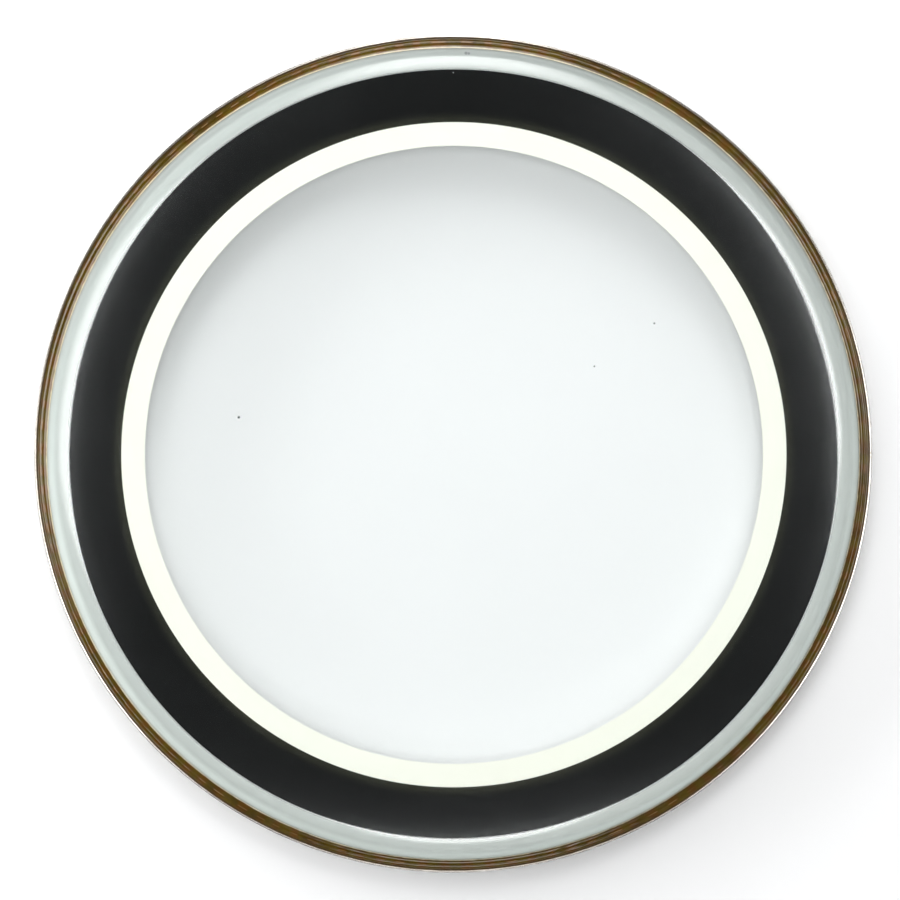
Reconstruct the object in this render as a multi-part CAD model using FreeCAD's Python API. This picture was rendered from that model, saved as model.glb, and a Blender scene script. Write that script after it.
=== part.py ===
import FreeCAD, Part
import math
import os

# Clear drum head with a muffling ring, in millimetres. The drum's axis is Z and the hoop stands on Z = 0.

# Drum shell that the head goes over
shell_diameter = 355.6
shell_clearance = 1.0

# Aluminium hoop: a U-shaped channel, open at the top, where the outer wall's edge slants down inwards
inner_wall = 1.0
outer_wall = 1.0
channel_gap = 5.5
hoop_floor = 1.0
hoop_height = 9.5
inner_wall_drop = 0.3
mouth_slant = 0.42
hoop_corner_round = 0.9
hoop_root_round = 0.8
edge_round_share = 0.4
mouth_round_share = 0.2

# Clear film: flat playing area, a collar that turns down in one round, skirt into the channel, trough and lip
film_thickness = 0.25
collar_height = 10.9
collar_round = 11.2
skirt_gap = 0.55
trough_width = 2.6
trough_clearance = 1.5
trough_round_share = 0.9
lip_cover = 0.4

# Keying notches cut into the lip's upper edge, which leave a ring of tabs
notch_count = 120
notch_width = 3.0
notch_depth = 2.8

# Resin cast into the channel, with its surface drawn up at the wall and at the film
resin_drop = 0.9
wall_rise = 0.3
film_rise = 0.55
surface_dip = 0.2
inner_fill_drop = 0.5

# Muffling ring under the film, out to the collar's first slope, and the tape that holds its inner border
ring_reach = 0.7
ring_width = 33.6
ring_thickness = 0.19
tape_width = 10.4
tape_thickness = 0.13

# Extra length of every cutting tool past what it cuts
cut_overrun = 0.5
full_turn = 360.0

# Radii of the hoop's four wall faces, from the bore outwards
bore_radius = shell_diameter / 2 + shell_clearance
gap_inner_radius = bore_radius + inner_wall
gap_outer_radius = gap_inner_radius + channel_gap
hoop_radius = gap_outer_radius + outer_wall
inner_wall_top = hoop_height - inner_wall_drop

# Heights of the resin's surface: at its ridge, at the outer wall and at the film
resin_level = hoop_height - resin_drop
wall_contact = resin_level + wall_rise
film_contact = resin_level + film_rise

# The film's upper surface: the edge of its flat area, and its corners before they are rounded
film_top = hoop_height + collar_height
skirt_radius = gap_inner_radius + skirt_gap + film_thickness
flat_radius = skirt_radius - collar_round
trough_floor = hoop_floor + trough_clearance + film_thickness
lip_radius = skirt_radius + trough_width
lip_top = resin_level - lip_cover
trough_round = trough_round_share * trough_width / 2

# Radii of the muffling ring and of its tape
ring_outer_radius = flat_radius + ring_reach
ring_inner_radius = ring_outer_radius - ring_width
tape_outer_radius = ring_inner_radius + tape_width

Z_AXIS = FreeCAD.Vector(0, 0, 1)
ORIGIN = FreeCAD.Vector(0, 0, 0)


def at(radius, height):
    """A point of a section, which lies in the plane Y = 0."""
    return FreeCAD.Vector(radius, 0, height)


def direction(start, end):
    """The unit vector from one point to another."""
    return (end - start).normalize()


def right_of(way):
    """The unit vector that points to the right of a way along the section."""
    return FreeCAD.Vector(way.z, 0, -way.x)


def line(start, end):
    """A straight edge."""
    return Part.LineSegment(start, end).toShape()


def arc(start, middle, end):
    """A round edge through three points."""
    return Part.Arc(start, middle, end).toShape()


def rounded_corner(before, corner, after, radius):
    """The start, middle and end of the arc that rounds one corner."""
    arriving = direction(before, corner)
    leaving = direction(corner, after)
    half_turn = arriving.getAngle(leaving) / 2
    cut_back = radius * math.tan(half_turn)
    inwards = (leaving - arriving).normalize()
    middle = corner + inwards * (radius / math.cos(half_turn) - radius)
    return corner - arriving * cut_back, middle, corner + leaving * cut_back


def rounded_path(corners, radii):
    """Edges along an open path. The radii round its inner corners, in order."""
    edges = []
    start = corners[0]
    for before, corner, after, radius in zip(corners, corners[1:], corners[2:], radii):
        begin, middle, end = rounded_corner(before, corner, after, radius)
        edges.append(line(start, begin))
        edges.append(arc(begin, middle, end))
        start = end
    edges.append(line(start, corners[-1]))
    return edges


def rounded_outline(corners, radii):
    """Edges of a closed outline, with every corner rounded by its own radius."""
    count = len(corners)
    rounds = [
        rounded_corner(corners[i - 1], corners[i], corners[(i + 1) % count], radii[i]) for i in range(count)
    ]
    edges = []
    for i, (begin, middle, end) in enumerate(rounds):
        edges.append(arc(begin, middle, end))
        edges.append(line(end, rounds[(i + 1) % count][0]))
    return edges


def shifted_path(corners, radii, depth):
    """The corners and radii of a path moved to its own right by a depth."""
    ways = [direction(a, b) for a, b in zip(corners, corners[1:])]
    moved = [corners[0] + right_of(ways[0]) * depth]
    moved_radii = []
    for corner, arriving, leaving, radius in zip(corners[1:], ways, ways[1:], radii):
        both = right_of(arriving) + right_of(leaving)
        moved.append(corner + both * (depth / (1 + arriving.dot(leaving))))
        turns_right = right_of(arriving).dot(leaving) > 0
        moved_radii.append(radius - depth if turns_right else radius + depth)
    moved.append(corners[-1] + right_of(ways[-1]) * depth)
    return moved, moved_radii


def sheet_section(corners, radii, thickness):
    """The section of a sheet whose thickness lies to the right of a path."""
    far, far_radii = shifted_path(corners, radii, thickness)
    edges = rounded_path(corners, radii)
    edges.append(line(corners[-1], far[-1]))
    edges.extend(rounded_path(far, far_radii))
    edges.append(line(corners[0], far[0]))
    return edges


def turned(edges):
    """The solid that a closed section sweeps in a full turn about the drum's axis."""
    wire = Part.Wire(Part.__sortEdges__(edges))
    return Part.Face(wire).revolve(ORIGIN, Z_AXIS, full_turn)


def tube(inner_radius, outer_radius, bottom, height):
    """A plain ring about the drum's axis."""
    base = FreeCAD.Vector(0, 0, bottom)
    outside = Part.makeCylinder(outer_radius, height, base, Z_AXIS)
    return outside.cut(Part.makeCylinder(inner_radius, height, base, Z_AXIS))


def only_solid(shape):
    """The one solid that a cut leaves."""
    if len(shape.Solids) != 1:
        raise ValueError(f"expected one solid, found {len(shape.Solids)}")
    return shape.Solids[0]


def hoop_channel():
    """The rolled channel: two walls on a floor, with rounded corners, roots and edges."""
    inner_edge = edge_round_share * inner_wall
    mouth_edge = mouth_round_share * outer_wall
    corners = [
        at(bore_radius, 0),
        at(hoop_radius, 0),
        at(hoop_radius, hoop_height),
        at(gap_outer_radius, hoop_height - mouth_slant),
        at(gap_outer_radius, hoop_floor),
        at(gap_inner_radius, hoop_floor),
        at(gap_inner_radius, inner_wall_top),
        at(bore_radius, inner_wall_top),
    ]
    radii = [
        hoop_corner_round,
        hoop_corner_round,
        mouth_edge,
        mouth_edge,
        hoop_root_round,
        hoop_root_round,
        inner_edge,
        inner_edge,
    ]
    return turned(rounded_outline(corners, radii))


def lip_notches():
    """The blocks that cut the keying notches, evenly spaced round the lip's upper edge."""
    base = FreeCAD.Vector(lip_radius - cut_overrun, -notch_width / 2, lip_top - notch_depth)
    length = film_thickness + 2 * cut_overrun
    height = notch_depth + cut_overrun
    pitch = full_turn / notch_count
    blocks = []
    for i in range(notch_count):
        block = Part.makeBox(length, notch_width, height, base)
        block.rotate(ORIGIN, Z_AXIS, (i + 1 / 2) * pitch)
        blocks.append(block)
    return Part.makeCompound(blocks)


def drum_film():
    """One sheet from the playing area to the notched lip, formed over collar, skirt and trough."""
    corners = [
        at(0, film_top),
        at(skirt_radius, film_top),
        at(skirt_radius, trough_floor),
        at(lip_radius, trough_floor),
        at(lip_radius, lip_top),
    ]
    radii = [collar_round, trough_round, trough_round]
    sheet = turned(sheet_section(corners, radii, film_thickness))
    return only_solid(sheet.cut(lip_notches()))


def resin_lock_ring(film):
    """The casting: all of the channel up to the resin's surface, less the film inside it."""
    film_middle = skirt_radius - film_thickness / 2
    ridge_radius = lip_radius + film_thickness / 2
    inner_fill = inner_wall_top - inner_fill_drop
    wall_edge = at(gap_outer_radius, wall_contact)
    ridge = at(ridge_radius, resin_level)
    film_edge = at(film_middle, film_contact)
    outer_dip = at((gap_outer_radius + ridge_radius) / 2, resin_level - surface_dip)
    inner_dip = at((ridge_radius + film_middle) / 2, resin_level - surface_dip)
    channel = [
        wall_edge,
        at(gap_outer_radius, hoop_floor),
        at(gap_inner_radius, hoop_floor),
        at(gap_inner_radius, inner_fill),
    ]
    edges = rounded_path(channel, [hoop_root_round, hoop_root_round])
    edges.append(line(at(gap_inner_radius, inner_fill), at(film_middle, inner_fill)))
    edges.append(line(at(film_middle, inner_fill), film_edge))
    edges.append(arc(film_edge, inner_dip, ridge))
    edges.append(arc(ridge, outer_dip, wall_edge))
    return only_solid(turned(edges).cut(film))


def muffling_ring():
    """The black ring, below the film by the thickness of the tape."""
    bottom = film_top - film_thickness - tape_thickness - ring_thickness
    return tube(ring_inner_radius, ring_outer_radius, bottom, ring_thickness)


def bonding_tape_ring():
    """The cream tape between the film and the inner border of the muffling ring."""
    bottom = film_top - film_thickness - tape_thickness
    return tube(ring_inner_radius, tape_outer_radius, bottom, tape_thickness)


def main():
    """Builds every piece and writes one file for each."""
    film = drum_film()
    pieces = {
        "hoop_channel": hoop_channel(),
        "drum_film": film,
        "resin_lock_ring": resin_lock_ring(film),
        "muffling_ring": muffling_ring(),
        "bonding_tape_ring": bonding_tape_ring(),
    }
    os.makedirs("parts", exist_ok=True)
    for name, shape in pieces.items():
        if not shape.isValid():
            raise ValueError(f"{name} isn't a valid solid")
        shape.exportStep(os.path.join("parts", name + ".step"))
        print(name, "volume", round(shape.Volume, 1), "faces", len(shape.Faces))
    print("film top", round(film_top, 3), "flat radius", round(flat_radius, 3))
    print("inner wall top", round(inner_wall_top, 3), "ring radius", round(ring_outer_radius, 3))
    print("hoop diameter", round(2 * hoop_radius, 3), "bore diameter", round(2 * bore_radius, 3))


main()
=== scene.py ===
import logging
import math
from collections.abc import Mapping, Sequence
from dataclasses import dataclass
from enum import Enum

import bpy
import numpy as np
from mathutils import Matrix, Vector

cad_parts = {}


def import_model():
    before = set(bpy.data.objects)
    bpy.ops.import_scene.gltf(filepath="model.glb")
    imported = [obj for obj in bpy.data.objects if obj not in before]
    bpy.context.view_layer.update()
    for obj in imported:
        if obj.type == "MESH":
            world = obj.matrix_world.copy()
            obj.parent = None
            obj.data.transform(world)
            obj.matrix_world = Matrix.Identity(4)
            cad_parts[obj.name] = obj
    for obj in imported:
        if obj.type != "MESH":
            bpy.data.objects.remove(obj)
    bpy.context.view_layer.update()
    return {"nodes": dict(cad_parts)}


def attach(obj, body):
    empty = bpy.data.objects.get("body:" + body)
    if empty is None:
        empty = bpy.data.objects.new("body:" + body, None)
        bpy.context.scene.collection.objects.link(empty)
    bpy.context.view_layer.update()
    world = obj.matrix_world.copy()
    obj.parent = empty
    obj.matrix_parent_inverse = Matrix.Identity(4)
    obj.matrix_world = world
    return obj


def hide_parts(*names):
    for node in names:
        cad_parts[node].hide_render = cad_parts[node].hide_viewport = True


LOG = logging.getLogger("drum_head")
MM = 0.001
FULL_TURN = 2 * math.pi
BODY = "root"
SHARP_EDGE = math.radians(40)
UNDERSIDE = "underside"
NOISE_ROUGHNESS = 0.55

# Sockets of the Mix node that serve colours
MIX_SHARE, MIX_FIRST, MIX_SECOND, MIX_RESULT = 0, 6, 7, 2

Colour = tuple[float, float, float]
Range = tuple[float, float]
Spot = tuple[float, float, float]


class Slot(Enum):
    """The record's material slots."""

    HOOP = "hoop_aluminium"
    FILM = "clear_film"
    RESIN = "amber_resin"
    BLACK = "black_film"
    TAPE = "cream_tape"


class Noise(Enum):
    """How a cloud of noise is laid out on a surface."""

    CLOUDS = 1.0
    GRAIN = 4.0


class Lit(Enum):
    """Which surfaces a light panel serves."""

    ALL = "matte and glossy"
    MATTE = "matte alone"


def linear(red: int, green: int, blue: int) -> Colour:
    """Turns a screen colour into the linear colour that shaders take.

    Args:
        red: Red, 0 to 255.
        green: Green, 0 to 255.
        blue: Blue, 0 to 255.

    Returns:
        The linear colour, each channel 0 to 1.
    """
    share = np.array([red, green, blue]) / 255
    curve = np.where(share <= 0.04045, share / 12.92, ((share + 0.055) / 1.055) ** 2.4)
    return tuple(float(c) for c in curve)


class Value:
    """A number that varies over a surface: Python operators on it add Math nodes."""

    def __init__(self, shade: "Shade", socket: bpy.types.NodeSocket) -> None:
        """Wraps one output socket of a shade's node tree."""
        self.shade = shade
        self.socket = socket

    def math(self, operation: str, *terms: "Value | float") -> "Value":
        """Adds a Math node.

        Args:
            operation: The node's operation.
            terms: Its inputs, in order.

        Returns:
            The node's result.
        """
        node = self.shade.node("ShaderNodeMath", {"operation": operation}, dict(enumerate(terms)))
        return Value(self.shade, node.outputs[0])

    def __add__(self, other: "Value | float") -> "Value":
        """This plus other."""
        return self.math("ADD", self, other)

    __radd__ = __add__

    def __sub__(self, other: "Value | float") -> "Value":
        """This less other."""
        return self.math("SUBTRACT", self, other)

    def __rsub__(self, other: float) -> "Value":
        """Other less this."""
        return self.math("SUBTRACT", other, self)

    def __mul__(self, other: "Value | float") -> "Value":
        """This times other."""
        return self.math("MULTIPLY", self, other)

    __rmul__ = __mul__

    def __truediv__(self, other: "Value | float") -> "Value":
        """This divided by other."""
        return self.math("DIVIDE", self, other)

    def __pow__(self, power: float) -> "Value":
        """This to a power."""
        return self.math("POWER", self, power)

    def sine(self) -> "Value":
        """The sine of this angle."""
        return self.math("SINE", self)

    def root(self) -> "Value":
        """The square root."""
        return self.math("SQRT", self)

    def at_most(self, other: "Value | float") -> "Value":
        """The smaller of the two."""
        return self.math("MINIMUM", self, other)

    def at_least(self, other: "Value | float") -> "Value":
        """The larger of the two."""
        return self.math("MAXIMUM", self, other)

    def step(self, low: float, high: float) -> "Value":
        """A smooth step.

        Args:
            low: Where the step gives 0.
            high: Where it gives 1, which may be the lower number.

        Returns:
            A value from 0 to 1.
        """
        sockets = {"Value": self, "From Min": low, "From Max": high}
        node = self.shade.node("ShaderNodeMapRange", {"interpolation_type": "SMOOTHSTEP"}, sockets)
        return Value(self.shade, node.outputs["Result"])


class Shade:
    """A material that is being written, with the coordinates that round pieces share."""

    def __init__(self, name: str) -> None:
        """Starts an empty node tree under a material's name."""
        self.material = bpy.data.materials.new(name)
        self.material.use_nodes = True
        self.tree = self.material.node_tree
        self.tree.nodes.clear()
        self.place = self.node("ShaderNodeTexCoord").outputs["Object"]
        axes = self.node("ShaderNodeSeparateXYZ", {}, {"Vector": self.place}).outputs
        self.x, self.y, self.z = (Value(self, axes[i]) / MM for i in range(3))
        self.radius = (self.x * self.x + self.y * self.y).root()
        self.angle = self.x.math("ARCTAN2", self.y, self.x)

    def node(
        self, kind: str, settings: Mapping | None = None, sockets: Mapping | None = None
    ) -> bpy.types.Node:
        """Adds a node.

        Args:
            kind: The node's type.
            settings: Its properties, set first.
            sockets: Values or links of its inputs, by name or number.

        Returns:
            The node.
        """
        node = self.tree.nodes.new(kind)
        for key, value in (settings or {}).items():
            setattr(node, key, value)
        for key, value in (sockets or {}).items():
            source = value.socket if isinstance(value, Value) else value
            if isinstance(source, bpy.types.NodeSocket):
                self.tree.links.new(source, node.inputs[key])
            else:
                node.inputs[key].default_value = source
        return node

    def attribute(self, name: str) -> Value:
        """A number that the mesh carries at its points."""
        return Value(self, self.node("ShaderNodeAttribute", {"attribute_name": name}).outputs["Fac"])

    def vector(self, x: Value | float, y: Value | float, z: Value | float) -> bpy.types.NodeSocket:
        """Joins three numbers into a vector."""
        return self.node("ShaderNodeCombineXYZ", {}, {"X": x, "Y": y, "Z": z}).outputs["Vector"]

    def noise(
        self, pitch: float, kind: Noise = Noise.CLOUDS, where: bpy.types.NodeSocket | None = None
    ) -> Value:
        """Adds a noise from 0 to 1.

        Args:
            pitch: The size of its blotches in millimetres, or in units of where.
            kind: Soft clouds or fine grain.
            where: The coordinates, or None for the object's own.

        Returns:
            The noise.
        """
        scale = 1 / pitch if where is not None else 1 / (pitch * MM)
        sockets = {"Vector": where or self.place, "Scale": scale}
        sockets |= {"Detail": kind.value, "Roughness": NOISE_ROUGHNESS}
        return Value(self, self.node("ShaderNodeTexNoise", {}, sockets).outputs["Fac"])

    def mixed(
        self, share: Value, first: Colour | bpy.types.NodeSocket, second: Colour
    ) -> bpy.types.NodeSocket:
        """Mixes two colours.

        Args:
            share: 0 for the first colour, 1 for the second.
            first: The first colour, or a colour socket.
            second: The second colour.

        Returns:
            The mixed colour's socket.
        """
        start = first if isinstance(first, bpy.types.NodeSocket) else (*first, 1)
        sockets = {MIX_SHARE: share, MIX_FIRST: start, MIX_SECOND: (*second, 1)}
        return self.node("ShaderNodeMix", {"data_type": "RGBA"}, sockets).outputs[MIX_RESULT]

    def bump(self, height: Value, depth: float) -> bpy.types.NodeSocket:
        """Adds a bump.

        Args:
            height: The relief, 0 to 1.
            depth: What 1 stands for, in millimetres.

        Returns:
            The bumped normal's socket.
        """
        sockets = {"Height": height, "Distance": depth * MM, "Strength": 1.0}
        return self.node("ShaderNodeBump", {}, sockets).outputs["Normal"]

    def principled(self, sockets: Mapping) -> bpy.types.NodeSocket:
        """Adds the main surface shader with these inputs."""
        return self.node("ShaderNodeBsdfPrincipled", {}, sockets).outputs["BSDF"]

    def layered(
        self, share: Value | float, below: bpy.types.NodeSocket, above: bpy.types.NodeSocket
    ) -> bpy.types.NodeSocket:
        """Mixes two shaders: share 0 shows the one below, 1 the one above."""
        return self.node("ShaderNodeMixShader", {}, {0: share, 1: below, 2: above}).outputs[0]

    def towards(self, angle: float) -> Value:
        """How far a point lies from the axis in the way of an angle, in millimetres."""
        return self.x * math.cos(angle) + self.y * math.sin(angle)

    def finished(self, surface: bpy.types.NodeSocket) -> bpy.types.Material:
        """Joins the surface to the output and gives the material."""
        self.node("ShaderNodeOutputMaterial", {}, {"Surface": surface})
        return self.material


@dataclass(frozen=True)
class RolledAluminium:
    """Aluminium strip rolled into a hoop: lines along the roll, dull oxide, nicks and a smear of resin.

    Pitches, radii, widths and depths are in millimetres. A range says where a step begins and ends.
    """

    metal: Colour = linear(188, 184, 177)
    oxide: Colour = linear(140, 137, 130)
    polish: float = 0.18
    dull_roughness: float = 0.16
    line_pitch: float = 0.22
    line_depth: float = 0.004
    line_rise: float = 0.7
    line_roughness: float = 0.05
    cloud_pitch: float = 14.0
    cloud_range: Range = (0.35, 0.75)
    cloud_share: float = 0.45
    nick_pitch: float = 1.6
    nick_range: Range = (0.62, 0.74)
    nick_share: float = 0.5
    nick_sink: float = 0.6
    seam_angle: float = math.radians(258.9)
    seam_width: float = 0.35
    seam_sink: float = 3.0
    seam_share: float = 0.8
    stain: Colour = linear(92, 66, 30)
    stain_radius: float = 185.35
    stain_width: float = 0.45
    stain_inner: Range = (-0.9, -0.5)
    stain_heights: Range = (8.5, 8.7)
    smear_pitch: float = 6.0
    smear_reach: float = 0.15

    def seam(self, shade: Shade) -> Value:
        """1 on the joint of the strip's two ends, which lies across the hoop at one angle.

        Args:
            shade: The material.

        Returns:
            A value from 0 to 1.
        """
        across = shade.towards(self.seam_angle + FULL_TURN / 4)
        ahead = shade.towards(self.seam_angle).step(0.0, 1.0)
        return (across * across).root().step(self.seam_width, self.seam_width / 3) * ahead

    def stained(self, shade: Shade) -> Value:
        """1 where resin is smeared on the inner edge of the hoop's mouth, with a ragged outer border.

        Args:
            shade: The material.

        Returns:
            A value from 0 to 1.
        """
        smear = shade.noise(self.smear_pitch, Noise.GRAIN) * (2 * self.smear_reach) - self.smear_reach
        past = shade.radius + smear - self.stain_radius
        border = past.step(self.stain_width, 0.0) * past.step(*self.stain_inner)
        return border * shade.z.step(*self.stain_heights)

    def material(self) -> bpy.types.Material:
        """Lines are noise of radius and height alone, so they run round the hoop.

        Returns:
            The material.
        """
        shade = Shade("rolled_aluminium")
        lines = shade.noise(self.line_pitch, Noise.GRAIN, shade.vector(shade.radius, shade.z, 0.0))
        clouds = shade.noise(self.cloud_pitch).step(*self.cloud_range)
        nicks = shade.noise(self.nick_pitch, Noise.GRAIN).step(*self.nick_range)
        seam, stained = self.seam(shade), self.stained(shade)
        dull = (clouds * self.cloud_share + nicks * self.nick_share + seam).at_most(1.0)
        height = lines * self.line_rise - nicks * self.nick_sink - seam * self.seam_sink
        bare = shade.mixed(dull, self.metal, self.oxide)
        return shade.finished(
            shade.principled(
                {
                    "Base Color": shade.mixed(stained, bare, self.stain),
                    "Metallic": (1.0 - seam * self.seam_share) * (1.0 - stained),
                    "Roughness": self.polish + dull * self.dull_roughness + lines * self.line_roughness,
                    "Normal": shade.bump(height, self.line_depth),
                }
            )
        )


@dataclass(frozen=True)
class ClearFilm:
    """Clear polyester: see-through, glossy by its angle, milky where it is bent or set, with some dust.

    Radii and heights are in millimetres. Each cloud number is the share of milky film at one place.
    """

    tint: Colour = (0.989, 0.998, 0.997)
    gloss_roughness: float = 0.03
    facing_gloss: float = 0.036
    facing_blend: float = 0.5
    gloss_power: float = 5.0
    matte_roughness: float = 0.6
    cloud: Colour = (0.86, 0.92, 0.89)
    milk_through: float = 0.5
    # Painted shade: the shoulder's milk is a darker grey on the far side, where the lights fall on it most.
    painted_shade_cloud: Colour = (0.47, 0.51, 0.49)
    painted_shade_angle: float = math.radians(95.0)
    deep_range: Range = (-0.3, 0.8)
    crown_range: Range = (170.0, 171.0)
    crown_cloud: float = 0.4
    shoulder_range: Range = (174.8, 177.6)
    shoulder_cloud: float = 0.4
    foot_range: Range = (10.6, 9.3)
    foot_cloud: float = 0.4
    foot_pitch: float = 3.0
    foot_waver: float = 0.4
    bloom_pitch: float = 60.0
    bloom_range: Range = (0.45, 0.9)
    bloom_cloud: float = 0.003
    grain_pitch: float = 0.5
    grain_range: Range = (0.6, 0.9)
    grain_cloud: float = 0.002
    dust: Colour = linear(105, 110, 110)
    dust_cover: float = 0.7
    lint: Colour = linear(200, 200, 200)
    spot_core: float = 0.4
    specks: tuple[Spot, ...] = (
        (-95.1, 16.8, 0.75),
        (88.3, 58.3, 0.5),
        (61.8, 39.3, 0.45),
        (5.2, 177.6, 1.0),
        (6.4, 177.5, 0.8),
    )
    flecks: tuple[Spot, ...] = ((-0.5, 168.7, 0.3),)

    def material(self) -> bpy.types.Material:
        """Gloss rises from its least value by the fifth power of one less the cosine of the view's angle.

        Returns:
            The material.
        """
        shade = Shade("clear_film")
        turned_away = shade.node("ShaderNodeLayerWeight", {}, {"Blend": self.facing_blend})
        facing = Value(shade, turned_away.outputs["Facing"])
        gloss = self.facing_gloss + facing**self.gloss_power * (1 - self.facing_gloss)
        through = shade.node("ShaderNodeBsdfTransparent", {}, {"Color": (*self.tint, 1)}).outputs[0]
        shine_sockets = {"Color": (1, 1, 1, 1), "Roughness": self.gloss_roughness}
        shine = shade.node("ShaderNodeBsdfAnisotropic", {}, shine_sockets).outputs[0]
        clouded = shade.layered(self.clouding(shade), through, self.milk(shade))
        specks = self.spots(shade, self.specks) * self.dust_cover
        dusty = shade.layered(specks, clouded, self.matte(shade, self.dust))
        flecked = shade.layered(self.spots(shade, self.flecks), dusty, self.matte(shade, self.lint))
        return shade.finished(shade.layered(gloss, flecked, shine))

    def matte(self, shade: Shade, colour: Colour | bpy.types.NodeSocket) -> bpy.types.NodeSocket:
        """A dull coat of one colour.

        Args:
            shade: The material.
            colour: The coat's colour, or a colour socket.

        Returns:
            The coat's shader socket.
        """
        base = colour if isinstance(colour, bpy.types.NodeSocket) else (*colour, 1)
        sockets = {"Base Color": base, "Roughness": self.matte_roughness, "Specular IOR Level": 0.0}
        return shade.principled(sockets)

    def shoulder(self, shade: Shade) -> Value:
        """0 on the crown, 1 on the steep side of the collar."""
        return shade.radius.step(*self.shoulder_range)

    def milk(self, shade: Shade) -> bpy.types.NodeSocket:
        """Milky film scatters half of its light back and half through; on the far side the shoulder is painted
        greyer, a painted shade against the light falling there.

        Args:
            shade: The material.

        Returns:
            The milky film's shader socket.
        """
        # Painted shade: the far-side shoulder takes the darker grey in place of the milk's own colour.
        side = (shade.towards(self.painted_shade_angle) / shade.radius.at_least(1.0)).step(*self.deep_range)
        colour = shade.mixed(self.shoulder(shade) * side, self.cloud, self.painted_shade_cloud)
        back = shade.node("ShaderNodeBsdfTranslucent", {}, {"Color": colour}).outputs[0]
        return shade.layered(self.milk_through, self.matte(shade, colour), back)

    def clouding(self, shade: Shade) -> Value:
        """How milky the film is: over crown and shoulder, where it was stretched, and at its foot.

        Args:
            shade: The material.

        Returns:
            The share of milky film, 0 to 1.
        """
        crown = shade.radius.step(*self.crown_range) * self.crown_cloud
        shoulder = self.shoulder(shade) * self.shoulder_cloud
        ragged = shade.noise(self.foot_pitch, Noise.GRAIN) * (2 * self.foot_waver) - self.foot_waver
        foot = (shade.z + ragged).step(*self.foot_range) * self.foot_cloud
        bloom = shade.noise(self.bloom_pitch).step(*self.bloom_range) * self.bloom_cloud
        grain = shade.noise(self.grain_pitch).step(*self.grain_range) * self.grain_cloud
        return (crown + shoulder + foot + (bloom + grain)).at_most(1.0)

    def spots(self, shade: Shade, places: Sequence[Spot]) -> Value:
        """Marks small round spots.

        Args:
            shade: The material.
            places: Each spot's place across and along the drum, and its radius, in millimetres.

        Returns:
            1 in the middle of a spot, falling to 0 at its radius.
        """
        mask = shade.x * 0.0
        for x, y, size in places:
            along, across = shade.x - x, shade.y - y
            away = (along * along + across * across).root()
            mask = mask.at_least(away.step(size, size * self.spot_core))
        return mask


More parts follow.
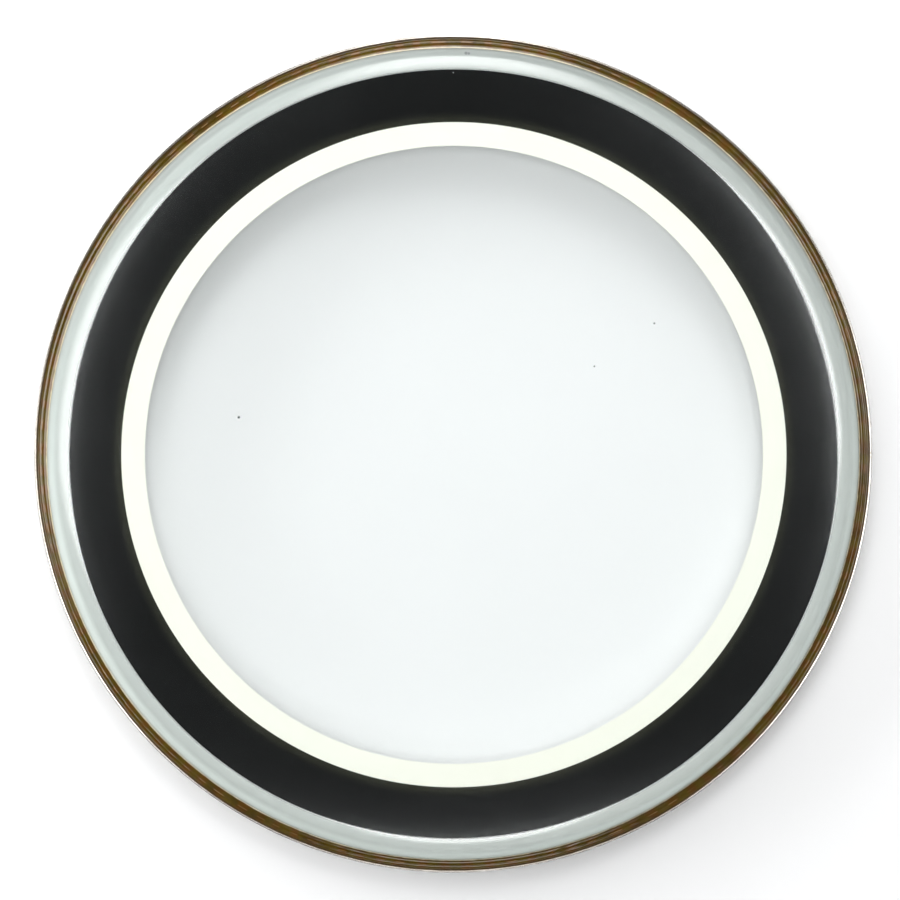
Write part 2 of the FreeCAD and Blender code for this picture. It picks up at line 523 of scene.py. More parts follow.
@dataclass(frozen=True)
class CastResin:
    """Amber-brown casting resin: olive and red-brown by turns over the film's tabs, pale where it thins out.

    Pitches, radii and widths are in millimetres.
    """

    olive: Colour = linear(88, 70, 8)
    red: Colour = linear(94, 61, 9)
    dark: Colour = linear(50, 36, 5)
    pale: Colour = (0.98, 0.9, 0.66)
    # Light tan of the dashes on the ridge: partly the tabs' tops under thin resin, partly painted glints.
    light: Colour = linear(176, 142, 96)
    tab_count: int = 120
    drift_pitch: float = 22.0
    drift_reach: float = 9.0
    blotch_pitch: float = 5.0
    blotch_range: Range = (0.1, 1.05)
    blotch_share: float = 1.6
    blotch_shift: float = 0.3
    turn_share: float = 0.5
    deep_pitch: float = 11.0
    deep_range: Range = (0.42, 0.7)
    deep_share: float = 0.55
    # Painted shade: the resin darkens towards the outer wall, where the wall shades the channel.
    wall_shade_range: Range = (184.55, 185.2)
    wall_shade_share: float = 0.8
    ridge_radius: float = 183.3
    ridge_width: float = 0.3
    dash_pitch: float = 30.0
    dash_range: Range = (0.4, 0.62)
    dash_turns: Range = (-0.2, 0.7)
    dash_share: float = 0.5
    film_radius: float = 180.6
    fade_width: float = 0.75
    fade_pitch: float = 4.0
    fade_waver: float = 0.3
    # The swell towards swell_angle is a painted reflection of the lights on the resin's edge.
    fade_swell: float = 0.2
    swell_angle: float = math.radians(130.0)
    swell_range: Range = (0.0, 0.9)
    swell_share: float = 0.45
    relief_pitch: float = 1.2
    relief_depth: float = 0.02
    relief_roughness: float = 0.06
    gloss_roughness: float = 0.1
    specular: float = 0.45

    def body(self, shade: Shade) -> bpy.types.NodeSocket:
        """The colour in the channel: turns are the sine of angle times tabs, shifted by clouds of noise;
        painted shade darkens it by the outer wall.

        Args:
            shade: The material.

        Returns:
            The colour's socket.
        """
        drift = shade.noise(self.drift_pitch) * self.drift_reach
        turns = (shade.angle * self.tab_count + drift).sine()
        mottle = shade.noise(self.blotch_pitch, Noise.GRAIN) * self.blotch_share
        redness = (turns * self.turn_share + mottle - self.blotch_shift).step(*self.blotch_range)
        colour = shade.mixed(redness, self.olive, self.red)
        deep = shade.noise(self.deep_pitch, Noise.GRAIN).step(*self.deep_range) * self.deep_share
        colour = shade.mixed(deep, colour, self.dark)
        # Painted shade by the outer wall.
        colour = shade.mixed(shade.radius.step(*self.wall_shade_range) * self.wall_shade_share, colour, self.dark)
        # Light dashes on the ridge over the tabs: partly the tabs' tops, partly painted glints (a painted
        # highlight).
        off_ridge = shade.radius - self.ridge_radius
        ridge = (off_ridge * off_ridge).step(self.ridge_width**2, 0.0)
        spread = shade.noise(self.dash_pitch).step(*self.dash_range)
        tab_tops_and_glints = ridge * turns.step(*self.dash_turns) * spread
        return shade.mixed(tab_tops_and_glints * self.dash_share, colour, self.light)

    def at_film(self, shade: Shade) -> Value:
        """1 at the film, where the resin thins out, over a ragged border; its swell on one side is a painted
        reflection.

        Args:
            shade: The material.

        Returns:
            A value from 0 to 1.
        """
        ragged = shade.noise(self.fade_pitch, Noise.GRAIN) * (2 * self.fade_waver) - self.fade_waver
        # Painted reflection: towards the upper left the pale border is wider, where the lights reflect on the
        # resin's edge; there it is also fainter.
        swell = (shade.towards(self.swell_angle) / self.film_radius).step(*self.swell_range)
        width = swell * self.fade_swell + self.fade_width
        thin = ((shade.radius + ragged - self.film_radius) / width).step(1.0, 0.0)
        return thin * (1.0 - swell * self.swell_share)

    def material(self) -> bpy.types.Material:
        """The channel's colour, pale at the film, under a gloss with a faint relief.

        Returns:
            The material.
        """
        shade = Shade("cast_resin")
        relief = shade.noise(self.relief_pitch, Noise.GRAIN)
        return shade.finished(
            shade.principled(
                {
                    "Base Color": shade.mixed(self.at_film(shade), self.body(shade), self.pale),
                    "Roughness": self.gloss_roughness + relief * self.relief_roughness,
                    "Specular IOR Level": self.specular,
                    "Normal": shade.bump(relief, self.relief_depth),
                }
            )
        )


@dataclass(frozen=True)
class BlackFilm:
    """Black plastic film with a satin skin: painted a little olive near the tape by light spilling from it,
    pale backing on its underside.

    Pitches, radii, widths and depths are in millimetres.
    """

    black: Colour = linear(4, 6, 6)
    olive: Colour = linear(44, 45, 33)
    backing: Colour = (0.94, 0.93, 0.90)
    satin: float = 0.165
    satin_waver: float = 0.03
    specular: float = 0.75
    grain_pitch: float = 0.8
    grain_depth: float = 0.004
    cloud_pitch: float = 40.0
    tape_radius: float = 146.9
    tape_glow_width: float = 5.0
    tape_glow_share: float = 0.6
    tape_glow_waver: float = 0.6
    side_range: Range = (0.4, 0.6)

    def material(self) -> bpy.types.Material:
        """Satin comes from roughness with fine grain; the olive, painted light from the bright tape, fades
        outwards from its edge.

        Returns:
            The material.
        """
        shade = Shade("black_film")
        grain = shade.noise(self.grain_pitch, Noise.GRAIN)
        clouds = shade.noise(self.cloud_pitch)
        # Painted light: an olive glow spilling from the bright tape onto the black near its edge.
        tape_glow = shade.radius.step(self.tape_radius + self.tape_glow_width, self.tape_radius)
        face = shade.mixed(tape_glow * (self.tape_glow_share + clouds * self.tape_glow_waver), self.black, self.olive)
        below = shade.attribute(UNDERSIDE).step(*self.side_range)
        return shade.finished(
            shade.principled(
                {
                    "Base Color": shade.mixed(below, face, self.backing),
                    "Roughness": self.satin + clouds * self.satin_waver + grain * self.satin_waver,
                    "Specular IOR Level": self.specular,
                    "Normal": shade.bump(grain, self.grain_depth),
                }
            )
        )


@dataclass(frozen=True)
class CreamTape:
    """Cream paper tape: fine fibres and faint clouds, a shade deeper along its two cut edges.

    Pitches, radii, widths and depths are in millimetres.
    """

    cream: Colour = (0.985, 0.985, 0.885)
    deep: Colour = (0.945, 0.94, 0.83)
    grain_pitch: float = 0.6
    grain_depth: float = 0.01
    grain_share: float = 0.25
    grain_roughness: float = 0.2
    roughness: float = 0.6
    cloud_pitch: float = 18.0
    cloud_range: Range = (0.4, 0.8)
    cloud_share: float = 0.25
    inner_radius: float = 136.5
    outer_radius: float = 146.9
    edge_width: float = 0.7
    edge_share: float = 0.4

    def material(self) -> bpy.types.Material:
        """The depth of colour is grain plus clouds plus a step at each edge.

        Returns:
            The material.
        """
        shade = Shade("cream_tape")
        grain = shade.noise(self.grain_pitch, Noise.GRAIN)
        clouds = shade.noise(self.cloud_pitch).step(*self.cloud_range)
        inner = shade.radius.step(self.inner_radius + self.edge_width, self.inner_radius)
        outer = shade.radius.step(self.outer_radius - self.edge_width, self.outer_radius)
        mottle = grain * self.grain_share + clouds * self.cloud_share
        depth = (mottle + (inner + outer) * self.edge_share).at_most(1.0)
        return shade.finished(
            shade.principled(
                {
                    "Base Color": shade.mixed(depth, self.cream, self.deep),
                    "Roughness": self.roughness + grain * self.grain_roughness,
                    "Normal": shade.bump(grain, self.grain_depth),
                }
            )
        )


@dataclass(frozen=True)
class PaperFloor:
    """White backdrop paper with faint clouds, whose pitch is in millimetres."""

    white: Colour = (0.95, 0.955, 0.96)
    grey: Colour = (0.93, 0.935, 0.94)
    cloud_pitch: float = 90.0
    roughness: float = 0.9

    def material(self) -> bpy.types.Material:
        """Clouds of noise mix two whites.

        Returns:
            The material.
        """
        shade = Shade("white_paper")
        colour = shade.mixed(shade.noise(self.cloud_pitch), self.white, self.grey)
        return shade.finished(shade.principled({"Base Color": colour, "Roughness": self.roughness}))


def rounded_line(
    corners: Sequence[tuple[float, float]],
    radii: Sequence[float],
    runs: Sequence[int],
    bends: Sequence[int],
) -> np.ndarray:
    """Points along a section's line with rounded corners: straight runs joined by arcs that touch both.

    Args:
        corners: Radius and height of each corner.
        radii: The round of each inner corner.
        runs: Steps in each straight run.
        bends: Steps in each arc.

    Returns:
        The points, in order.
    """
    spots = np.array(corners, float)
    ways = np.diff(spots, axis=0)
    ways /= np.linalg.norm(ways, axis=1, keepdims=True)
    points = []
    start = spots[0]
    for i, radius in enumerate(radii):
        before, after = ways[i], ways[i + 1]
        turn = math.atan2(before[0] * after[1] - before[1] * after[0], float(before @ after))
        begin = spots[i + 1] - before * radius * math.tan(abs(turn) / 2)
        run = np.linspace(0, 1, runs[i], endpoint=False)[:, None]
        points.append(start + (begin - start) * run)
        bend = np.linspace(0, turn, bends[i] + 1)
        cosine, sine = np.cos(bend), np.sin(bend)
        way = np.stack([before[0] * cosine - before[1] * sine, before[0] * sine + before[1] * cosine], axis=1)
        left = np.stack([-way[:, 1], way[:, 0]], axis=1) * math.copysign(radius, turn)
        points.append(begin + left[0] - left)
        start = points[-1][-1]
    run = np.linspace(0, 1, runs[-1] + 1)[1:, None]
    points.append(start + (spots[-1] - start) * run)
    return np.concatenate(points)


def arc_through(
    start: tuple[float, float], middle: tuple[float, float], end: tuple[float, float], steps: int
) -> np.ndarray:
    """Points on the circle through three points, evenly spaced from the first to the last.

    Args:
        start: The arc's first point.
        middle: A point on the way.
        end: The arc's last point.
        steps: How many steps to take.

    Returns:
        The points, steps + 1 of them.
    """
    a, b, c = (np.array(p, float) for p in (start, middle, end))
    rows = np.array([b - a, c - a])
    centre = np.linalg.solve(2 * rows, (rows * (rows + 2 * a)).sum(axis=1))
    spokes = np.array([a, b, c]) - centre
    angles = np.unwrap(np.arctan2(spokes[:, 1], spokes[:, 0]))
    turn = np.linspace(angles[0], angles[2], steps + 1)
    return centre + np.linalg.norm(spokes[0]) * np.stack([np.cos(turn), np.sin(turn)], axis=1)


@dataclass(frozen=True)
class Waver:
    """A wavering number round the hoop: its seed, the fewest and most waves in a turn, how uneven they are."""

    seed: int
    lowest: int
    highest: int
    uneven: float = 0.35

    def at(self, angles: np.ndarray) -> np.ndarray:
        """A sum of cosines of whole multiples of the angle, with seeded phases and sizes.

        Args:
            angles: Where to work it out.

        Returns:
            The number at each angle, with a spread of about 1.
        """
        draw = np.random.default_rng(self.seed)
        waves = np.arange(self.lowest, self.highest + 1)
        phases = draw.uniform(0, FULL_TURN, len(waves))
        sizes = draw.normal(1, self.uneven, len(waves)) / np.sqrt(len(waves) / 2)
        return (np.cos(np.outer(angles, waves) + phases) * sizes).sum(axis=1)


def turned_piece(
    name: str, radius: np.ndarray, height: np.ndarray, angles: np.ndarray, poles: bool
) -> bpy.types.Object:
    """A closed piece turned about the axis: x is radius times cosine of the angle, y radius times sine.

    Args:
        name: The piece's name.
        radius: Millimetres from the axis, one row per point of the section and one column per angle.
        height: Millimetres above the floor, laid out alike.
        angles: The angles of the columns, rising through one turn.
        poles: Whether the first and last rows lie on the axis; otherwise the section closes on itself.

    Returns:
        The object, at the origin, with its faces pointing outwards.
    """
    rows, columns = radius.shape
    grid = np.stack([radius * np.cos(angles), radius * np.sin(angles), height], axis=2) * MM
    index = np.arange(rows * columns).reshape(rows, columns)
    first = index[1:-2] if poles else index
    second = index[2:-1] if poles else np.roll(index, -1, axis=0)
    sides = [first, np.roll(first, -1, axis=1), np.roll(second, -1, axis=1), second]
    quads = np.stack(sides, axis=2).reshape(-1, 4)
    triangles = np.empty((0, 3), int)
    points = grid.reshape(-1, 3)
    corner = points[quads]
    halves = np.cross(corner[:, 1] - corner[:, 0], corner[:, 2] - corner[:, 0])
    halves += np.cross(corner[:, 2] - corner[:, 0], corner[:, 3] - corner[:, 0])
    outward = float((corner[:, 0] * halves).sum()) > 0
    if poles:
        ends = ((index[1], index[0][0]), (index[-2][::-1], index[-1][0]))
        fans = [np.stack([np.roll(ring, -1), ring, np.full(columns, tip)], axis=1) for ring, tip in ends]
        keep = np.ones(len(points), bool)
        keep[index[0][1:]] = keep[index[-1][1:]] = False
        renumber = np.cumsum(keep) - 1
        points, quads, triangles = points[keep], renumber[quads], renumber[np.concatenate(fans)]
    way = slice(None, None, 1 if outward else -1)
    mesh = bpy.data.meshes.new(name)
    mesh.from_pydata(points.tolist(), [], quads[:, way].tolist() + triangles[:, way].tolist())
    mesh.polygons.foreach_set("use_smooth", np.ones(len(mesh.polygons), bool))
    mesh.set_sharp_from_angle(angle=SHARP_EDGE)
    mesh.validate()
    piece = bpy.data.objects.new(name, mesh)
    bpy.context.scene.collection.objects.link(piece)
    return piece


def dressed(piece: bpy.types.Object, finish: bpy.types.Material, node: str) -> bpy.types.Object:
    """Puts a finish on a piece, seats it on the body and lets it stand for its solid.

    Args:
        piece: The piece.
        finish: Its material.
        node: The solid that it stands for.

    Returns:
        The piece.
    """
    piece.data.materials.append(finish)
    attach(piece, BODY)
    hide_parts(node)
    LOG.info("%s: %d faces", piece.name, len(piece.data.polygons))
    return piece


def plain_angles(count: int) -> np.ndarray:
    """Evenly spaced angles through one turn."""
    return np.arange(count) * FULL_TURN / count


@dataclass
class HoopChannel:
    """The rolled hoop: a channel of U section, open at the top."""

    bore: float = 178.8
    gap_inner: float = 179.8
    gap_outer: float = 185.3
    outside: float = 186.3
    floor: float = 1.0
    inner_top: float = 9.2
    outer_top: float = 9.5
    corner_round: float = 0.9
    root_round: float = 0.8
    edge_round: float = 0.4
    mouth_slant: float = 0.42
    mouth_round: float = 0.2
    burr: float = 0.015
    burr_reach: float = 0.6
    burr_waver: Waver = Waver(11, 30, 300)
    runs: tuple[int, ...] = (1, 4, 4, 4, 2, 4, 1, 4, 1)
    bends: tuple[int, ...] = (6, 6, 6, 5, 5, 7, 7, 6)
    columns: int = 720
    finish: RolledAluminium = RolledAluminium()

    def build(self) -> bpy.types.Object:
        """Carries the channel's rounded section round the axis, with a slight waver of its top edges.

        Returns:
            The dressed piece.
        """
        middle = (self.bore + self.outside) / 2
        corners = [
            (middle, 0.0),
            (self.outside, 0.0),
            (self.outside, self.outer_top),
            (self.gap_outer, self.outer_top - self.mouth_slant),
            (self.gap_outer, self.floor),
            (self.gap_inner, self.floor),
            (self.gap_inner, self.inner_top),
            (self.bore, self.inner_top),
            (self.bore, 0.0),
            (middle, 0.0),
        ]
        edge, root, corner = self.edge_round, self.root_round, self.corner_round
        radii = [corner, self.mouth_round, self.mouth_round, root, root, edge, edge, corner]
        section = rounded_line(corners, radii, self.runs, self.bends)[:-1]
        angles = plain_angles(self.columns)
        near_top = np.clip((section[:, 1] - self.outer_top + self.burr_reach) / self.burr_reach, 0, 1)
        waver = np.minimum(self.burr_waver.at(angles) * self.burr, 0.0) * near_top[:, None]
        radius = np.repeat(section[:, :1], self.columns, axis=1)
        height = section[:, 1:] + waver
        piece = turned_piece("hoop_rolled_channel", radius, height, angles, poles=False)
        return dressed(piece, self.finish.material(), "hoop_channel")


@dataclass
class DrumFilm:
    """The clear film: playing area, a collar in one round, skirt, trough and notched lip."""

    top: float = 20.4
    collar_round: float = 11.2
    skirt: float = 180.6
    trough_floor: float = 2.75
    lip: float = 183.2
    lip_top: float = 8.2
    thickness: float = 0.25
    trough_round: float = 1.17
    notch_count: int = 120
    notch_width: float = 3.0
    notch_depth: float = 2.8
    slit_share: float = 0.02
    lead_slope: float = math.radians(3.2)
    lead_in: float = 6.0
    lead_out: float = 2.0
    lead_start: float = 140.0
    lead_steps: int = 11
    flat_steps: int = 3
    collar_steps: int = 26
    trough_steps: int = 4
    pucker: float = 0.012
    pucker_foot: float = 3.0
    pucker_crown: float = 5.0
    pucker_gap: float = 0.4
    pucker_waver: Waver = Waver(5, 18, 70)
    finish: ClearFilm = ClearFilm()

    def drop(self, radius: np.ndarray) -> np.ndarray:
        """How far the formed film sinks towards its crown: an added slope that falls off as an exponential.

        Args:
            radius: Where to work it out, in millimetres.

        Returns:
            The drop in millimetres.
        """
        past = radius - (self.skirt - self.collar_round)
        inside = self.lead_in * np.exp(np.minimum(past, 0.0) / self.lead_in)
        outside = self.lead_out * (1 - np.exp(-np.maximum(past, 0.0) / self.lead_out))
        return self.lead_slope * (inside + outside)

    def line(self) -> tuple[np.ndarray, np.ndarray]:
        """The film's upper side, from the centre outwards and down, with its normals into the film.

        Returns:
            The points, and a unit normal at each.
        """
        corners = [
            (0.0, self.top),
            (self.skirt, self.top),
            (self.skirt, self.trough_floor),
            (self.lip, self.trough_floor),
            (self.lip, self.lip_top),
        ]
        radii = [self.collar_round, self.trough_round, self.trough_round]
        bends = [self.collar_steps, self.trough_steps, self.trough_steps]
        bent = rounded_line(corners, radii, [1, 1, 1, 1], bends)
        inner = np.linspace(0, self.lead_start, self.flat_steps, endpoint=False)
        lead_end = self.skirt - self.collar_round
        lead = np.linspace(self.lead_start, lead_end, self.lead_steps, endpoint=False)
        flat = np.concatenate([inner, lead])
        flat = np.stack([flat, np.full_like(flat, self.top)], axis=1)
        points = np.concatenate([flat, bent[bent[:, 0] > self.lead_start]])
        window = np.clip((points[:, 1] - self.top + self.collar_round) / (self.collar_round / 2), 0, 1)
        points[:, 1] -= self.drop(points[:, 0]) * window
        ways = np.gradient(points, axis=0)
        ways[0] = (1.0, 0.0)
        ways /= np.linalg.norm(ways, axis=1, keepdims=True)
        return points, np.stack([ways[:, 1], -ways[:, 0]], axis=1)

    def column_angles(self) -> tuple[np.ndarray, np.ndarray]:
        """Angles with a pair of columns at both sides of each notch, and whether each lies in a notch.

        Returns:
            The angles, and a mark for each that lies in a notch.
        """
        pitch = FULL_TURN / self.notch_count
        half = self.notch_width / 2 / self.lip
        slit = self.slit_share * pitch
        middle = pitch / 2
        before, after = middle - half, middle + half
        parts = [0, middle / 3, before - slit, before, after, after + slit, pitch - middle / 3]
        cut = np.array([False, False, False, True, True, False, False])
        angles = (np.arange(self.notch_count)[:, None] * pitch + np.array(parts)).ravel()
        return angles, np.tile(cut, self.notch_count)

    def build(self) -> bpy.types.Object:
        """Carries the sheet's two sides round the axis; the lip drops at each notch, the collar puckers.

        Returns:
            The dressed piece.
        """
        points, normals = self.line()
        section = np.concatenate([points, (points + normals * self.thickness)[::-1]])
        angles, cut = self.column_angles()
        radius = np.repeat(section[:, :1], len(angles), axis=1)
        height = np.repeat(section[:, 1:], len(angles), axis=1)
        rise = section[:, 1]
        lip_end = np.isclose(rise, self.lip_top) & (section[:, 0] > (self.skirt + self.lip) / 2)
        height[np.ix_(lip_end, cut)] -= self.notch_depth
        low, high = self.top - self.collar_round, self.top - self.pucker_gap
        window = np.clip((rise - low) / self.pucker_foot, 0, 1)
        window *= np.clip((high - rise) / self.pucker_crown, 0, 1)
        radius += window[:, None] * self.pucker_waver.at(angles) * self.pucker
        piece = turned_piece("film_clear_sheet", radius, height, angles, poles=True)
        return dressed(piece, self.finish.material(), "drum_film")


@dataclass
class ResinLockRing:
    """The casting that fills the channel and holds the film's rim."""

    film: DrumFilm
    hoop: HoopChannel
    level: float = 8.6
    wall_contact: float = 8.9
    film_contact: float = 9.15
    dip: float = 0.2
    inner_fill: float = 8.7
    ridge_blend: float = 0.1
    ripple: float = 0.05
    tab_share: float = 0.5
    fine_share: float = 0.6
    broad_share: float = 0.5
    tab_drift: float = 2.0
    tab_waver: Waver = Waver(21, 3, 9)
    fine_waver: Waver = Waver(22, 20, 160)
    broad_waver: Waver = Waver(23, 4, 20)
    hollow_steps: int = 60
    top_points: int = 41
    wall_lap: float = 0.2
    film_lap: float = 0.01
    root_steps: int = 4
    fill_round: float = 0.05
    columns: int = 1080
    finish: CastResin = CastResin()

    def surface(self) -> np.ndarray:
        """The resin's top from wall to film: two hollows that meet in a softened ridge over the lip.

        Returns:
            The points, from the wall to the film.
        """
        ridge = (self.film.lip + self.film.thickness / 2, self.level)
        wall = (self.hoop.gap_outer, self.wall_contact)
        foot = (self.film.skirt, self.film_contact)
        outer_dip = ((wall[0] + ridge[0]) / 2, self.level - self.dip)
        inner_dip = ((ridge[0] + foot[0]) / 2, self.level - self.dip)
        outer = arc_through(wall, outer_dip, ridge, self.hollow_steps)
        inner = arc_through(ridge, inner_dip, foot, self.hollow_steps)
        line = np.concatenate([outer, inner[1:]])
        steps = np.linspace(line[-1, 0], line[0, 0], self.top_points)[::-1]
        blend = np.exp(-0.5 * ((steps[:, None] - line[:, 0]) / self.ridge_blend) ** 2)
        spacing = np.abs(np.gradient(line[:, 0]))
        weight = blend * spacing
        smooth = (weight * line[:, 1]).sum(axis=1) / weight.sum(axis=1)
        smooth[0], smooth[-1] = wall[1], foot[1]
        return np.stack([steps, smooth], axis=1)

    def build(self) -> bpy.types.Object:
        """Carries the casting's section round the axis, with ripples on its top over the film's tabs.

        Returns:
            The dressed piece.
        """
        film, hoop = self.film, self.hoop
        points, normals = film.line()
        under = points[:, 1] < self.film_contact - self.film_lap
        under &= points[:, 0] > film.skirt - film.thickness
        rim, rim_normals = points[under], normals[under]
        top = self.surface()
        fill = rounded_line(
            [
                (film.skirt - film.thickness, self.inner_fill),
                (hoop.gap_inner, self.inner_fill),
                (hoop.gap_inner, hoop.floor),
                (hoop.gap_outer, hoop.floor),
                (hoop.gap_outer, self.wall_contact - self.wall_lap),
            ],
            [self.fill_round, hoop.root_round, hoop.root_round],
            [1, 1, 1, 1],
            [1, self.root_steps, self.root_steps],
        )
        section = np.concatenate([top, rim, (rim + rim_normals * film.thickness)[::-1], fill])
        angles = plain_angles(self.columns)
        radius = np.repeat(section[:, :1], self.columns, axis=1)
        height = np.repeat(section[:, 1:], self.columns, axis=1)
        across = np.linspace(0, math.pi, len(top))
        window = np.sin(across)[:, None]
        tabs = np.cos(angles * film.notch_count + self.tab_waver.at(angles) * self.tab_drift)
        ripple = self.tab_share * tabs + self.fine_share * self.fine_waver.at(angles)
        ripple += self.broad_share * self.broad_waver.at(angles)
        height[: len(top)] += window * ripple * self.ripple
        piece = turned_piece("resin_cast_ring", radius, height, angles, poles=False)
        return dressed(piece, self.finish.material(), "resin_lock_ring")


@dataclass
class FlatRing:
    """A thin ring that lies under the film and sinks with it."""

    film: DrumFilm
    depth: float
    thickness: float
    inner: float
    outer: float
    across_points: int = 13
    columns: int = 720

    def turned(self, name: str) -> bpy.types.Object:
        """Carries a thin strip round the axis: both sides follow the film's drop, and points know their side.

        Args:
            name: The piece's name.

        Returns:
            The piece.
        """
        across = np.linspace(self.inner, self.outer, self.across_points)
        upper = self.film.top - self.depth - self.film.drop(across)
        section_radius = np.concatenate([across, across[::-1]])
        section_height = np.concatenate([upper, upper[::-1] - self.thickness])
        angles = plain_angles(self.columns)
        radius = np.repeat(section_radius[:, None], self.columns, axis=1)
        height = np.repeat(section_height[:, None], self.columns, axis=1)
        piece = turned_piece(name, radius, height, angles, poles=False)
        underside = np.repeat([0.0, 1.0], len(across) * self.columns)
        piece.data.attributes.new(UNDERSIDE, "FLOAT", "POINT").data.foreach_set("value", underside)
        return piece


@dataclass
class MufflingRing(FlatRing):
    """The black ring, held to the film by the tape along its inner border."""

    depth: float = 0.38
    thickness: float = 0.19
    inner: float = 136.5
    outer: float = 170.1
    finish: BlackFilm = BlackFilm()

    def build(self) -> bpy.types.Object:
        """Makes and dresses the ring."""
        piece = self.turned("muffling_black_ring")
        return dressed(piece, self.finish.material(), "muffling_ring")


@dataclass
class BondingTapeRing(FlatRing):
    """The cream tape between the film and the muffling ring, with a hair of air above and below it."""

    depth: float = 0.26
    thickness: float = 0.11
    inner: float = 136.5
    outer: float = 146.9
    finish: CreamTape = CreamTape()

    def build(self) -> bpy.types.Object:
        """Makes and dresses the tape."""
        piece = self.turned("tape_cream_ring")
        return dressed(piece, self.finish.material(), "bonding_tape_ring")


@dataclass(frozen=True)
class SoftPanel:
    """A light panel: where it stands as seen from the drum's rim below it, in degrees, and how bright it is.

    Each edge fades over a share of the panel's half width or height: both sides alike, low and high edge.
    Matte surfaces get a share of the light that reflections show, from a height and distance of its own.
    Distances are in metres, the rim's radius and height in millimetres.
    """

    name: str
    azimuth: Range
    elevation: Range
    radiance: float
    matte_share: float = 1.0
    matte_low: float = 0.0
    fade_side: float = 0.6
    fade_low: float = 0.6
    fade_high: float = 0.1
    distance: float = 1.6
    matte_distance: float = 2.8
    rim: float = 172.0
    rim_height: float = 19.0
    lit: Lit = Lit.ALL

    def build(self) -> None:
        """Places glowing sheets that face the rim: one for matte surfaces, and mostly one for gloss too."""
        low, high = self.elevation
        matte_range = (max(low, self.matte_low), high)
        matte_radiance = self.radiance * self.matte_share
        matte = self.sheet(self.name + "_matte", matte_radiance, matte_range, self.matte_distance)
        matte.visible_glossy = False
        if self.lit is Lit.ALL:
            gloss = self.sheet(self.name + "_gloss", self.radiance, self.elevation, self.distance)
            gloss.visible_diffuse = gloss.visible_transmission = False

    def sheet(self, name: str, radiance: float, elevations: Range, distance: float) -> bpy.types.Object:
        """Places one flat glowing sheet that the camera doesn't see.

        Args:
            name: The sheet's name.
            radiance: How bright it is in the middle.
            elevations: Its low and high edge in degrees.
            distance: Metres from the rim.

        Returns:
            The sheet.
        """
        azimuth, elevation = (math.radians(sum(pair) / 2) for pair in (self.azimuth, elevations))
        across, along = (math.radians((pair[1] - pair[0]) / 2) for pair in (self.azimuth, elevations))
        half_width = distance * math.cos(elevation) * math.tan(across)
        half_height = distance * math.tan(along)
        corners = [(-half_width, -half_height), (half_width, -half_height)]
        corners += [(half_width, half_height), (-half_width, half_height)]
        mesh = bpy.data.meshes.new(name)
        mesh.from_pydata([(x, y, 0.0) for x, y in corners], [], [(3, 2, 1, 0)])
        mesh.materials.append(self.glow(name, radiance, half_width / MM, half_height / MM))
        sheet = bpy.data.objects.new(name, mesh)
        turn, rise = (math.cos(azimuth), math.sin(azimuth)), math.cos(elevation)
        way = Vector((rise * turn[0], rise * turn[1], math.sin(elevation)))
        rim = Vector((self.rim * turn[0], self.rim * turn[1], self.rim_height)) * MM
        sheet.location = rim + way * distance
        sheet.rotation_euler = (-way).to_track_quat("-Z", "Y").to_euler()
        sheet.visible_camera = sheet.visible_shadow = False
        bpy.context.scene.collection.objects.link(sheet)
        return sheet

    def glow(self, name: str, radiance: float, half_width: float, half_height: float) -> bpy.types.Material:
        """Light that is full in the middle and falls to nothing by a smooth step at each edge.

        Args:
            name: The material's name.
            radiance: How bright it is in the middle.
            half_width: Half of the sheet's width in millimetres.
            half_height: Half of its height in millimetres.

        Returns:
            The material.
        """
        shade = Shade(name)
        side = (shade.x * shade.x).root() / half_width
        rise = shade.y / half_height
        share = side.step(1.0, 1.0 - self.fade_side)
        share = share * rise.step(-1.0, -1.0 + self.fade_low) * rise.step(1.0, 1.0 - self.fade_high)
        colour = shade.mixed(share, (0.0, 0.0, 0.0), (1.0, 1.0, 1.0))
        sockets = {"Base Color": (0, 0, 0, 1), "Emission Color": colour, "Emission Strength": radiance}
        return shade.finished(shade.principled(sockets))


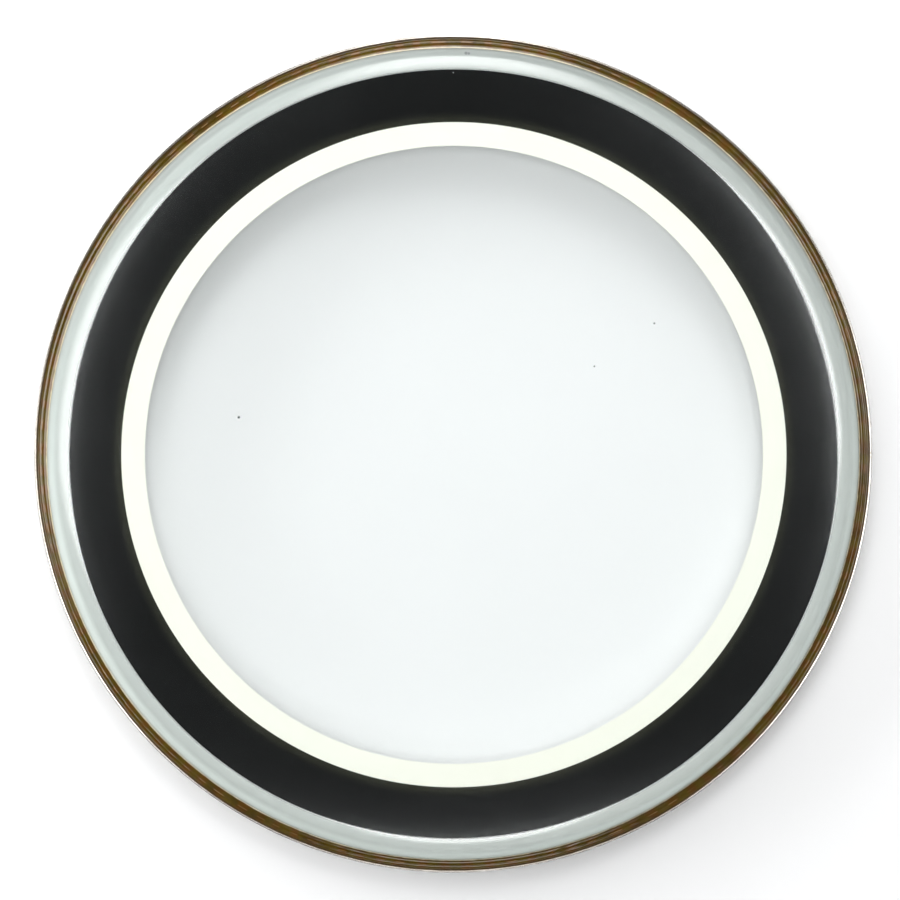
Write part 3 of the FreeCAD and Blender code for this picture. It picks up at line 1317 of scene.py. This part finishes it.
@dataclass
class Studio:
    """White paper floor, soft panels on all sides, a lamp above, a dim room and a camera nearly overhead.

    Floor, board, lamp and the clip's start are in metres. The floor's drop, look, camera, frame, lens and
    sensor are in millimetres.
    """

    floor_size: float = 3.0
    floor_drop: float = 0.1
    room_light: float = 0.22
    board_height: float = 1.7
    board_radius: float = 0.9
    board_grey: float = 0.02
    board_roughness: float = 0.9
    disc_sides: int = 64
    lamp_height: float = 3.0
    lamp_radius: float = 0.545
    lamp_radiance: float = 7.6
    backdrop: float = 0.95
    lens: float = 135.0
    sensor: float = 36.0
    clip_start: float = 0.01
    frame_width: float = 400.1
    look: tuple[float, float, float] = (-1.77, 2.14, 9.5)
    camera_x: float = -27.8
    camera_y: float = 31.9
    panels: tuple[SoftPanel, ...] = (
        SoftPanel(
            "panel_left", (136, 199), (12, 78), 7.2, 0.22, 20, fade_side=0.5, fade_low=1.3, distance=1.25
        ),
        SoftPanel("panel_right", (-14, 50), (48, 77), 8.4, 0.105, fade_low=1.3, distance=1.45),
        SoftPanel("panel_near", (250, 300), (48, 75), 7.2, 0.43, fade_low=1.3, distance=1.45),
        SoftPanel(
            "panel_far", (54, 122), (6, 75), 6.8, 0.72,
            fade_side=0.8, fade_low=0.1, fade_high=1.0, distance=1.35,
        ),
        SoftPanel(
            "panel_low", (100, 200), (4, 26), 8.0, fade_side=0.5, fade_low=0.1, fade_high=0.5, lit=Lit.MATTE
        ),
    )
    finish: PaperFloor = PaperFloor()

    def build(self) -> None:
        """Sets the floor, lights, room and camera."""
        self.floor()
        self.board()
        self.lamp()
        for panel in self.panels:
            panel.build()
        self.room()
        self.camera()
        view = bpy.context.scene.view_settings
        view.view_transform = "Standard"
        view.look = "None"

    def floor(self) -> bpy.types.Object:
        """A flat square under the hoop.

        Returns:
            The floor.
        """
        half = self.floor_size / 2
        corners = [(-half, -half), (half, -half), (half, half), (-half, half)]
        mesh = bpy.data.meshes.new("paper_floor")
        mesh.from_pydata([(x, y, -self.floor_drop * MM) for x, y in corners], [], [(0, 1, 2, 3)])
        floor = bpy.data.objects.new("paper_floor", mesh)
        bpy.context.scene.collection.objects.link(floor)
        mesh.materials.append(self.finish.material())
        return floor

    def disc(self, name: str, height: float, radius: float, surface: Mapping) -> bpy.types.Object:
        """Hangs a round sheet over the drum.

        Args:
            name: The sheet's name.
            height: Metres above the floor.
            radius: The sheet's radius in metres.
            surface: Inputs of its surface shader.

        Returns:
            The sheet.
        """
        angles = plain_angles(self.disc_sides)
        ring = np.stack([np.cos(angles), np.sin(angles)], axis=1) * radius
        mesh = bpy.data.meshes.new(name)
        mesh.from_pydata([(x, y, height) for x, y in ring.tolist()], [], [list(range(self.disc_sides))])
        shade = Shade(name)
        mesh.materials.append(shade.finished(shade.principled(surface)))
        sheet = bpy.data.objects.new(name, mesh)
        bpy.context.scene.collection.objects.link(sheet)
        return sheet

    def board(self) -> bpy.types.Object:
        """A dark round board above the camera, which keeps the flat film free of the room's reflection.

        Returns:
            The board.
        """
        surface = {"Base Color": (self.board_grey,) * 3 + (1,), "Roughness": self.board_roughness}
        board = self.disc("dark_board", self.board_height, self.board_radius, surface)
        board.visible_diffuse = board.visible_shadow = False
        return board

    def lamp(self) -> bpy.types.Object:
        """A lamp above the camera that fills the shade on matte surfaces and stays out of reflections.

        Returns:
            The lamp.
        """
        surface = {"Base Color": (0, 0, 0, 1), "Emission Color": (1, 1, 1, 1)}
        surface["Emission Strength"] = self.lamp_radiance
        lamp = self.disc("fill_lamp", self.lamp_height, self.lamp_radius, surface)
        lamp.visible_camera = lamp.visible_glossy = lamp.visible_shadow = False
        return lamp

    def room(self) -> None:
        """A dim grey room that looks pale where the camera sees it past the floor."""
        world = bpy.data.worlds.new("room")
        bpy.context.scene.world = world
        world.use_nodes = True
        tree = world.node_tree
        tree.nodes.clear()
        path = tree.nodes.new("ShaderNodeLightPath")
        shown, lit = (tree.nodes.new("ShaderNodeBackground") for _ in range(2))
        shown.inputs["Color"].default_value = (self.backdrop,) * 3 + (1,)
        lit.inputs["Color"].default_value = (self.room_light,) * 3 + (1,)
        mix = tree.nodes.new("ShaderNodeMixShader")
        out = tree.nodes.new("ShaderNodeOutputWorld")
        tree.links.new(path.outputs["Is Camera Ray"], mix.inputs[0])
        tree.links.new(lit.outputs[0], mix.inputs[1])
        tree.links.new(shown.outputs[0], mix.inputs[2])
        tree.links.new(mix.outputs[0], out.inputs["Surface"])

    def camera(self) -> bpy.types.Object:
        """A long lens a little off the axis: its distance gives the frame's width at the hoop's edge.

        Returns:
            The camera.
        """
        data = bpy.data.cameras.new("camera")
        data.lens = self.lens
        data.sensor_width = self.sensor
        data.clip_start = self.clip_start
        camera = bpy.data.objects.new("camera", data)
        reach = self.frame_width * self.lens / self.sensor
        place = Vector((self.camera_x, self.camera_y, self.look[2] + reach))
        back = (place - Vector(self.look)).normalized()
        right = Vector((0, 1, 0)).cross(back).normalized()
        camera.rotation_euler = Matrix((right, back.cross(right), back)).transposed().to_euler()
        camera.location = place * MM
        bpy.context.scene.collection.objects.link(camera)
        bpy.context.scene.camera = camera
        return camera


def main() -> None:
    """Builds the drum head's pieces in order, then the studio."""
    logging.basicConfig(level=logging.INFO, format="%(name)s: %(message)s")
    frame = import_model()
    LOG.info("solids: %s", ", ".join(sorted(frame["nodes"])))
    hoop = HoopChannel()
    film = DrumFilm()
    hoop.build()
    film.build()
    ResinLockRing(film, hoop).build()
    MufflingRing(film).build()
    BondingTapeRing(film).build()
    Studio().build()
    LOG.info("boxes written")


if __name__ == "__main__":
    main()
